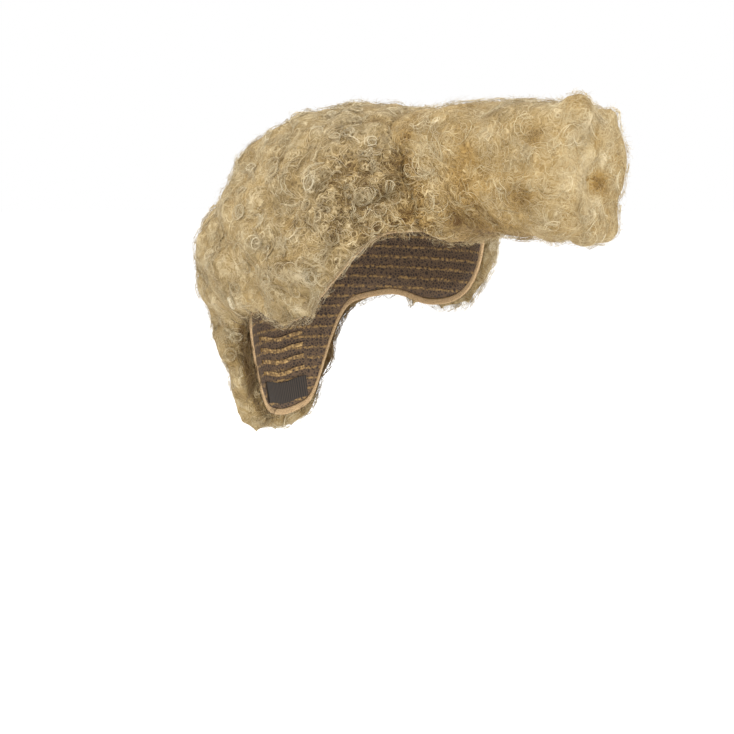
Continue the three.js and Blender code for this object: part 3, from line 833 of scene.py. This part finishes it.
t = node(curly, "GeometryNodeSplineParameter").outputs["Factor"]
hand = node(curly, MATH, {0: clump_xyz["Z"], 1: 0.5}, operation="SUBTRACT")
hand = node(curly, MATH, {0: hand}, operation="SIGN")
turns = node(curly, MATH, {0: clump_xyz["Y"], **between(*VARIED)}, operation="MULTIPLY_ADD")
turns = node(curly, MATH, {0: turns, 1: given["Turns"]}, operation="MULTIPLY")
turns = node(curly, MATH, {0: turns, 1: hand}, operation="MULTIPLY")
wound = node(curly, MATH, {0: turns, 1: t}, operation="MULTIPLY")
wound = node(curly, MATH, {0: clump_xyz["X"], 1: START_TURNS, 2: wound}, operation="MULTIPLY_ADD")
wound = node(curly, MATH, {0: own_xyz["X"], 1: OWN_TURNS, 2: wound}, operation="MULTIPLY_ADD")
angle = node(curly, MATH, {0: wound, 1: math.tau}, operation="MULTIPLY")
ring = node(curly, MATH, {0: clump_xyz["Z"], **between(*VARIED)}, operation="MULTIPLY_ADD")
ring = node(curly, MATH, {0: ring, 1: given["Curl radius"]}, operation="MULTIPLY")
shrink = node(curly, MATH, {0: t, **between(*RING_SHRINKS)}, operation="MULTIPLY_ADD")
ring = node(curly, MATH, {0: ring, 1: shrink}, operation="MULTIPLY")
wider = node(curly, MATH, {0: own_xyz["Y"], **between(*RING_VARIED)}, operation="MULTIPLY_ADD")
ring = node(curly, MATH, {0: ring, 1: wider}, operation="MULTIPLY")
up = node(curly, NAMED, {"Name": "up"}, data_type=ROWS_OF_THREE)
way = node(curly, NAMED, {"Name": "flow"}, data_type=ROWS_OF_THREE)
spoke = node(curly, "ShaderNodeVectorRotate", {"Vector": way, "Axis": up, "Angle": angle})
spoke = node(curly, VECTOR, {0: spoke, "Scale": ring}, operation="SCALE")
print("winding brings the rule to", len(curly.nodes), "nodes")

# %% [markdown]
# ### Drift and frizz
# The strand also drifts along the lay of the hair, half of it to each side of its root, which draws
# the rings out into coils. Frizz is a fine noise that kinks it, taken from another place for each
# strand, so that neighbours kink apart.

# %% Drift and frizz
DRIFT_VARIED = (0.6, 1.4)  # times the given length
KINKS = 190.0  # in a metre, so one to every 5 mm or so
OWN_PLACE = (30 * MM, 30 * MM, 30 * MM)
middle = node(curly, MATH, {0: t, 1: 0.5}, operation="SUBTRACT")
drift = node(curly, MATH, {0: own_xyz["Z"], **between(*DRIFT_VARIED)}, operation="MULTIPLY_ADD")
drift = node(curly, MATH, {0: drift, 1: given["Length"]}, operation="MULTIPLY")
drift = node(curly, MATH, {0: drift, 1: middle}, operation="MULTIPLY")
drift = node(curly, VECTOR, {0: way, "Scale": drift}, operation="SCALE")
root = node(curly, NAMED, {"Name": "root"}, data_type=ROWS_OF_THREE)
flat = node(curly, VECTOR, {0: root, 1: drift}, operation="ADD")
flat = node(curly, VECTOR, {0: flat, 1: spoke}, operation="ADD")
moved = node(curly, VECTOR, {0: own, 1: OWN_PLACE, 2: flat}, operation="MULTIPLY_ADD")
kinks = node(curly, NOISE, {"Vector": moved, "Scale": KINKS, "Detail": 2.0}).outputs["Color"]
kinks = node(curly, VECTOR, {0: kinks, 1: HALF}, operation="SUBTRACT")
kinks = node(curly, VECTOR, {0: kinks, "Scale": given["Frizz"]}, operation="SCALE")
free = node(curly, VECTOR, {0: flat, 1: kinks}, operation="ADD")
print("drift and frizz bring the rule to", len(curly.nodes), "nodes")

# %% [markdown]
# ### Pressed to the mat
# So far the strands lie in flat sheets that cut through the round mat. Each point is drawn towards
# the nearest point of the mat, and then lifted off it by a height that swells along the strand. The
# tips of a few stand up further, which makes the haze round the wig's outline.

# %% Pressed to the mat
OWN_LIFT = 0.45
TIP_RISE = 2.0  # a power, so that only the tip stands up
NEAREST = "GeometryNodeSampleNearestSurface"
surface = {"Mesh": given["Mat"], "Sample Position": free}
below = node(curly, NEAREST, {**surface, "Value": here}, data_type=ROWS_OF_THREE)
outward = node(curly, "GeometryNodeInputNormal")
facing = node(curly, NEAREST, {**surface, "Value": outward}, data_type=ROWS_OF_THREE)
share = {0: given["Conform"], 4: free, 5: below}
pressed = node(curly, "ShaderNodeMix", share, data_type="VECTOR").outputs[1]
swell = node(curly, MATH, {0: t, 1: math.pi}, operation="MULTIPLY")
swell = node(curly, MATH, {0: swell}, operation="SINE")
swell = node(curly, MATH, {0: swell, 1: clump_xyz["Y"]}, operation="MULTIPLY")
swell = node(curly, MATH, {0: own_xyz["Y"], 1: OWN_LIFT, 2: swell}, operation="MULTIPLY_ADD")
lift = node(curly, MATH, {0: swell, 1: given["Lift"]}, operation="MULTIPLY")
tip = node(curly, MATH, {0: t, 1: TIP_RISE}, operation="POWER")
tip = node(curly, MATH, {0: tip, 1: own_xyz["Z"]}, operation="MULTIPLY")
lift = node(curly, MATH, {0: tip, 1: given["Stand"], 2: lift}, operation="MULTIPLY_ADD")
lift = node(curly, VECTOR, {0: facing, "Scale": lift}, operation="SCALE")
laid = node(curly, VECTOR, {0: pressed, 1: lift}, operation="ADD")
lines = node(curly, "GeometryNodeSetPosition", {"Geometry": lines, "Position": laid})
lines = node(curly, STORE, {"Geometry": lines, "Name": "along", "Value": t})
print("pressing brings the rule to", len(curly.nodes), "nodes")

# %% [markdown]
# ### Thickness
# A line has no thickness, so a small outline is drawn along it. Three sides are enough for a hair
# that is less than a pixel wide. The strand thins at both ends, as a tuft of hairs does.

# %% Thickness
SIDES = 3
STOUT_VARIED, THIN_ENDS = (0.7, 1.3), (1.0, 0.25)  # times the given thickness
END_SHARPNESS = 4.0  # a power, so that only the ends thin
ends = node(curly, MATH, {0: middle, 1: 2.0}, operation="MULTIPLY")
ends = node(curly, MATH, {0: ends, 1: END_SHARPNESS}, operation="POWER")
taper = node(curly, MATH, {0: ends, **between(*THIN_ENDS)}, operation="MULTIPLY_ADD")
stout = node(curly, MATH, {0: own_xyz["Z"], **between(*STOUT_VARIED)}, operation="MULTIPLY_ADD")
stout = node(curly, MATH, {0: stout, 1: given["Thickness"]}, operation="MULTIPLY")
stout = node(curly, MATH, {0: stout, 1: taper}, operation="MULTIPLY")
outline = node(curly, "GeometryNodeCurvePrimitiveCircle", {"Resolution": SIDES, "Radius": 1.0})
side = node(curly, MATH, {0: index, 1: 1 / (SIDES - 1)}, operation="MULTIPLY")
outline = node(curly, STORE, {"Geometry": outline, "Name": "around", "Value": side})
drawn = {"Curve": lines, "Profile Curve": outline, "Scale": stout, "Fill Caps": True}
solid = node(curly, "GeometryNodeCurveToMesh", drawn)
print("thickness brings the rule to", len(curly.nodes), "nodes")

# %% [markdown]
# ### A map for baking
# When the model leaves Blender its colours are baked into an image, and thousands of strands can't
# each have a place in it. But strands of one tone and gold look alike, so they can share one. The
# map has a column for each tone and a row for each share of gold, with the strand's length up the
# column. The rule then ends as every such tree has to: smooth, realized and with its material.

# %% A map for baking
TONES, GOLDS = 64, 4
JUST_UNDER = 0.1  # keeps the lightest and most golden hair in the last column and row
MAP_EDGE, MAP_WIDTH = 0.1, 0.8  # part of a column that is used
MAP_FOOT, MAP_LENGTH, MAP_BOW = 0.03, 0.88, 0.05  # part of a row that is used
around = node(curly, NAMED, {"Name": "around"})
tone = node(curly, NAMED, {"Name": "tone"})
column = node(curly, MATH, {0: tone, 1: TONES - JUST_UNDER}, operation="MULTIPLY")
column = node(curly, MATH, {0: column}, operation="FLOOR")
column = node(curly, MATH, {0: column, 1: MAP_EDGE}, operation="ADD")
column = node(curly, MATH, {0: around, 1: MAP_WIDTH, 2: column}, operation="MULTIPLY_ADD")
column = node(curly, MATH, {0: column, 1: TONES}, operation="DIVIDE")
gold = node(curly, NAMED, {"Name": "gold"})
row = node(curly, MATH, {0: gold, 1: GOLDS - JUST_UNDER}, operation="MULTIPLY")
row = node(curly, MATH, {0: row}, operation="FLOOR")
length = node(curly, NAMED, {"Name": "along"})
row = node(curly, MATH, {0: length, 1: MAP_LENGTH, 2: row}, operation="MULTIPLY_ADD")
bow = node(curly, MATH, {0: around, 1: math.pi}, operation="MULTIPLY")
bow = node(curly, MATH, {0: bow}, operation="SINE")
row = node(curly, MATH, {0: bow, 1: MAP_BOW, 2: row}, operation="MULTIPLY_ADD")
row = node(curly, MATH, {0: row, 1: MAP_FOOT}, operation="ADD")
row = node(curly, MATH, {0: row, 1: GOLDS}, operation="DIVIDE")
flat_map = node(curly, "ShaderNodeCombineXYZ", {0: column, 1: row})
kept = {"Geometry": solid, "Name": "OFBake", "Value": flat_map}
solid = node(curly, STORE, kept, data_type="FLOAT2", domain="CORNER")
solid = node(curly, "GeometryNodeSetShadeSmooth", {"Geometry": solid})
solid = node(curly, "GeometryNodeRealizeInstances", {"Geometry": solid})
solid = node(curly, "GeometryNodeSetMaterial", {"Geometry": solid, "Material": given["Hair"]})
node(curly, "NodeGroupOutput", {0: solid})
print("the whole rule has", len(curly.nodes), "nodes")

# %% [markdown]
# ## Curls over the crown
# The same rule grows every kind of curl, one kind for each call. Over the crown lie ring curls,
# tighter coils and short frizz. A thin haze of fine ends stands off them, which is what gives the wig
# its soft outline. All of it could be one kind of strand, but then the curls would look combed.

# %% Curls over the crown
LENGTHS = ("Length", "Curl radius", "Spread", "Frizz", "Lift", "Stand", "Thickness")
SCRATCH_NOTES = ("up", "flow", "clump", "own", "root", "around")
MAT_NOTES = ("grow", "deep", "hem", "under", "curled", "ringed", "lay")


def grow_strands(piece, name, **sizes):
    """Grow one kind of strand on a mat, as a plain mesh. Lengths are given in millimetres."""
    bed = add_object(piece + "_bed", mats[name])
    rule = bed.modifiers.new("grow", "NODES")
    rule.node_group = curly
    wanted = {size.replace("_", " ").capitalize(): value for size, value in sizes.items()}
    wanted["Hair"] = strand_hair
    for socket in curly.interface.items_tree:
        if socket.in_out == "INPUT" and socket.name in wanted:
            value = wanted[socket.name]
            value = value * MM if socket.name in LENGTHS else value
            rule[socket.identifier] = float(value) if socket.socket_type == "NodeSocketFloat" else value
    mesh = settled(bed, all_layers=True)
    for note in SCRATCH_NOTES + MAT_NOTES:
        if note in mesh.attributes:
            mesh.attributes.remove(mesh.attributes[note])
    mesh.name = piece
    grown = add_object(piece, mesh)
    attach(grown, "root")
    print(piece, "has", sum(len(p.vertices) - 2 for p in mesh.polygons), "triangles")


grow_strands(
    "crown_rings", "crown_hair", where="curled", density=4000, seed=3, per_clump=6, spread=2.6, length=4,
    curl_radius=4.4, turns=1.7, frizz=1.2, lift=2.2, thickness=0.13, points=15, lighter=0.12,
)
grow_strands(
    "crown_coils", "crown_hair", where="curled", density=4400, seed=5, per_clump=5, spread=2.4, length=18,
    curl_radius=2.6, turns=1.8, lift=2.0, thickness=0.13, points=13, lighter=0.08,
)
grow_strands(
    "crown_frizz", "crown_hair", density=18500, seed=8, per_clump=2, spread=5.0, length=6,
    curl_radius=3.0, turns=0.9, frizz=4.0, lift=2.4, thickness=0.10, points=8,
)
grow_strands(
    "crown_fuzz", "crown_hair", density=70000, seed=21, per_clump=1, length=2, curl_radius=2.2, turns=0.8,
    frizz=4.0, lift=2.4, stand=5.0, conform=0.6, thickness=0.055, points=3, lighter=0.08,
)

# %% [markdown]
# ## Waves on the roll
# The hair of the roll is brushed out, so its waves are longer and looser than the curls of the crown,
# and its frizz is finer and thicker set. It could take the crown's curls, but then the two masses
# would look like one. It has the same haze of ends.

# %% Waves on the roll
grow_strands(
    "roll_waves", "front_roll", density=3800, seed=11, per_clump=4, spread=5.0, length=14,
    curl_radius=4.0, turns=1.2, lift=2.4, thickness=0.13, points=12, lighter=0.10,
)
grow_strands(
    "roll_frizz", "front_roll", density=46000, seed=13, per_clump=2, spread=5.0, length=4,
    curl_radius=2.6, turns=0.8, frizz=3.5, lift=2.2, thickness=0.09, points=7,
)
grow_strands(
    "roll_fuzz", "front_roll", density=110000, seed=23, per_clump=1, length=2, curl_radius=2.2, turns=0.8,
    frizz=4.0, lift=2.4, stand=5.0, conform=0.6, thickness=0.055, points=3, lighter=0.08,
)

# %% [markdown]
# ## Hem, temple and nape
# Along the hem the hair hangs free of the cap, so these strands are pressed to the mat only a little.
# At the temple a few larger rings lie on top of the rest, painted paler as a highlight where they catch the
# light. Under the nape the hair is drawn dark, as painted shade where it turns in below the cap's edge.

# %% Hem, temple and nape
grow_strands(
    "crown_hem", "crown_hair", where="hem", density=190000, seed=31, per_clump=2, spread=3.0, length=14,
    curl_radius=3.2, turns=1.2, lift=1.6, conform=0.2, thickness=0.09, points=9,
)
grow_strands(
    "roll_hem", "front_roll", where="hem", density=30000, seed=33, per_clump=2, spread=3.0, length=10,
    curl_radius=3.4, turns=1.2, lift=1.6, conform=0.25, thickness=0.09, points=9,
)
grow_strands(
    "temple_rings", "crown_hair", where="ringed", density=110000, seed=43, per_clump=5, spread=3.0, length=2,
    curl_radius=6.5, turns=1.6, frizz=1.6, lift=3.2, thickness=0.12, points=22, lighter=0.32,
)
grow_strands(
    "nape_dark", "crown_hair", where="under", density=210000, seed=45, per_clump=2, spread=3.0, length=14,
    curl_radius=1.6, turns=0.8, lift=3.4, thickness=0.16, points=8, lighter=-0.40,
)

# %% [markdown]
# ## The cap's net
# Inside, the cap is a net drawn dark, partly its own colour and partly painted shade of the inside of the
# cap, and the hair is tied into it in rows, so rows of straw-coloured knots show through. A net could be
# modelled thread by thread, but it is seen only from below, against the dark. Voronoi edges draw the threads,
# and a wave of noise gathers the knots into rows.

# %% The cap's net
NET_CELL, KNOT, KNOT_ROW = 2.38 * MM, 2.08 * MM, 8 * MM
THREADS = [(0.06, "#5b4630"), (0.22, "#2a1d12")]
ROW_STRENGTH = 0.35
TIED = {"From Min": 0.72, "From Max": 0.92, "To Min": 0.0, "To Max": 0.75}

# Knotted nylon net is matt and drawn dark, partly as painted shade of the cap's inside, with paler threads
# and raised straw-coloured knots.
net, tree, shader = new_material("dark net with knotted rows", 0.8)
place = node(tree, "ShaderNodeTexCoord").outputs["Object"]
cells = {"Vector": place, "Scale": 1 / NET_CELL}
holes = node(tree, "ShaderNodeTexVoronoi", cells, feature="DISTANCE_TO_EDGE").outputs["Distance"]
threads = node(tree, COLOUR_RUN, {"Fac": holes}, THREADS)
height = node(tree, "ShaderNodeSeparateXYZ", {0: place}).outputs["Z"]
rows = node(tree, MATH, {0: height, 1: math.tau / KNOT_ROW}, operation="MULTIPLY")
rows = node(tree, MATH, {0: rows}, operation="SINE")
knots = node(tree, NOISE, {"Vector": place, "Scale": 1 / KNOT, "Detail": 2.0}).outputs["Fac"]
tied = node(tree, MATH, {0: rows, 1: ROW_STRENGTH, 2: knots}, operation="MULTIPLY_ADD")
tied = node(tree, "ShaderNodeMapRange", {"Value": tied, **TIED})
face = node(tree, "ShaderNodeMix", {0: tied, 6: threads, 7: colour("#9a7a48")}, data_type="RGBA")
tree.links.new(face.outputs[2], shader.inputs["Base Color"])
raised = node(tree, "ShaderNodeBump", {"Height": tied, "Strength": 0.6, "Distance": 1.0 * MM})
tree.links.new(raised.outputs["Normal"], shader.inputs["Normal"])
print(net.name, "has", len(tree.nodes), "nodes")

# %% [markdown]
# ## Lace, band and wefts
# A narrow flesh-coloured lace finishes the edge, a woven elastic band draws in the nape, and above it
# run four wefts, which are rows of hair knotted along a cord. All three are small and plain, so one
# pattern each, at the size of its holes, ribs or knots, is enough.

# %% Lace, band and wefts
LACE_HOLE, RIB, WEFT_KNOT = 1.25 * MM, 1.96 * MM, 2.0 * MM
WAVES = 20 / math.tau  # bands that the wave texture draws to each unit of its scale
LACE_RUN = [(0.08, "#b3966f"), (0.28, "#866a47")]
RIB_RUN = [(0.2, "#17120d"), (0.8, "#3a2f24")]
WEFT_RUN = [(0.3, "#2e2010"), (0.5, "#7d5f33"), (0.7, "#bd9c62")]

# Lace of fine nylon thread is matt, with darker holes.
lace, tree, shader = new_material("flesh lace", 0.85)
place = node(tree, "ShaderNodeTexCoord").outputs["Object"]
cells = {"Vector": place, "Scale": 1 / LACE_HOLE}
holes = node(tree, "ShaderNodeTexVoronoi", cells, feature="DISTANCE_TO_EDGE").outputs["Distance"]
tree.links.new(node(tree, COLOUR_RUN, {"Fac": holes}, LACE_RUN).outputs[0], shader.inputs["Base Color"])

# Woven elastic is near black, with fine ribs across it that catch a little light.
elastic, tree, shader = new_material("black woven elastic", 0.8)
place = node(tree, "ShaderNodeTexCoord").outputs["Object"]
waves = {"Vector": place, "Scale": 1 / RIB / WAVES, "Distortion": 0.6}
ribs = node(tree, "ShaderNodeTexWave", waves, bands_direction="X").outputs["Fac"]
tree.links.new(node(tree, COLOUR_RUN, {"Fac": ribs}, RIB_RUN).outputs[0], shader.inputs["Base Color"])

# Knotted hair on a cord is uneven, from dark gaps to straw-coloured loops, with a slight sheen.
weft, tree, shader = new_material("knotted weft", 0.7)
place = node(tree, "ShaderNodeTexCoord").outputs["Object"]
twist = node(tree, NOISE, {"Vector": place, "Scale": 1 / WEFT_KNOT, "Detail": 3.0}).outputs["Fac"]
tree.links.new(node(tree, COLOUR_RUN, {"Fac": twist}, WEFT_RUN).outputs[0], shader.inputs["Base Color"])

for name, solid in nodes.items():
    if name.startswith("nape_"):
        finish = elastic if name == "nape_band" else weft
        solid.data.materials.clear()
        solid.data.materials.append(finish)
        print(name, "is finished in", finish.name)

# %% [markdown]
# ## Rounding the cap and the lace
# The band and the wefts keep the frame's own solids. The cap and the lace are large enough for their
# facets to show along the rim, so each is replaced by a copy that is rounded by subdivision. Its
# triangles are first joined to four-sided faces, which round evenly, and its sharp edges are held.

# %% Rounding the cap and the lace
FLAT_TURN, SKEW_TURN = 0.6, 1.2  # in radians, for triangles that may be joined
SHARP_TURN, HELD = 0.9, 0.8
ROUNDED = {  # finish, slot, levels of rounding, how much fuller the copy is
    "foundation_cap": (net, "cap_net", 1, 0.0),
    "lace_edge": (lace, "lace", 2, 0.4 * MM),
}
for name, (finish, slot, levels, fuller) in ROUNDED.items():
    block = merged(name)
    limits = {"angle_face_threshold": FLAT_TURN, "angle_shape_threshold": SKEW_TURN}
    bmesh.ops.join_triangles(block, faces=block.faces, cmp_materials=False, **limits)
    crease = block.edges.layers.float.new("crease_edge")
    for edge in block.edges:
        edge[crease] = HELD if edge.calc_face_angle(0) > SHARP_TURN else 0.0
    rough = add_object("rough", as_mesh(block, "rough"))
    curve = rough.modifiers.new("round", "SUBSURF")
    curve.levels = curve.render_levels = levels
    if fuller:
        puff = rough.modifiers.new("fuller", "DISPLACE")
        puff.strength, puff.mid_level = fuller, 0.0
    mesh = settled(rough)
    mesh.materials.clear()
    mesh.materials.append(finish)
    mesh.polygons.foreach_set("use_smooth", [True] * len(mesh.polygons))
    rounded = add_object(name + "_round", mesh)
    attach(rounded, "root")
    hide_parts(name)
    print(name, "is rounded, with", len(mesh.polygons), "faces")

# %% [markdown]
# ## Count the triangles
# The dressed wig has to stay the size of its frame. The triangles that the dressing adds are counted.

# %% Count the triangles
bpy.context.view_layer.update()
total = sum(len(p.vertices) - 2 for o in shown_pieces() if o.name not in nodes for p in o.data.polygons)
print("added triangles", total)
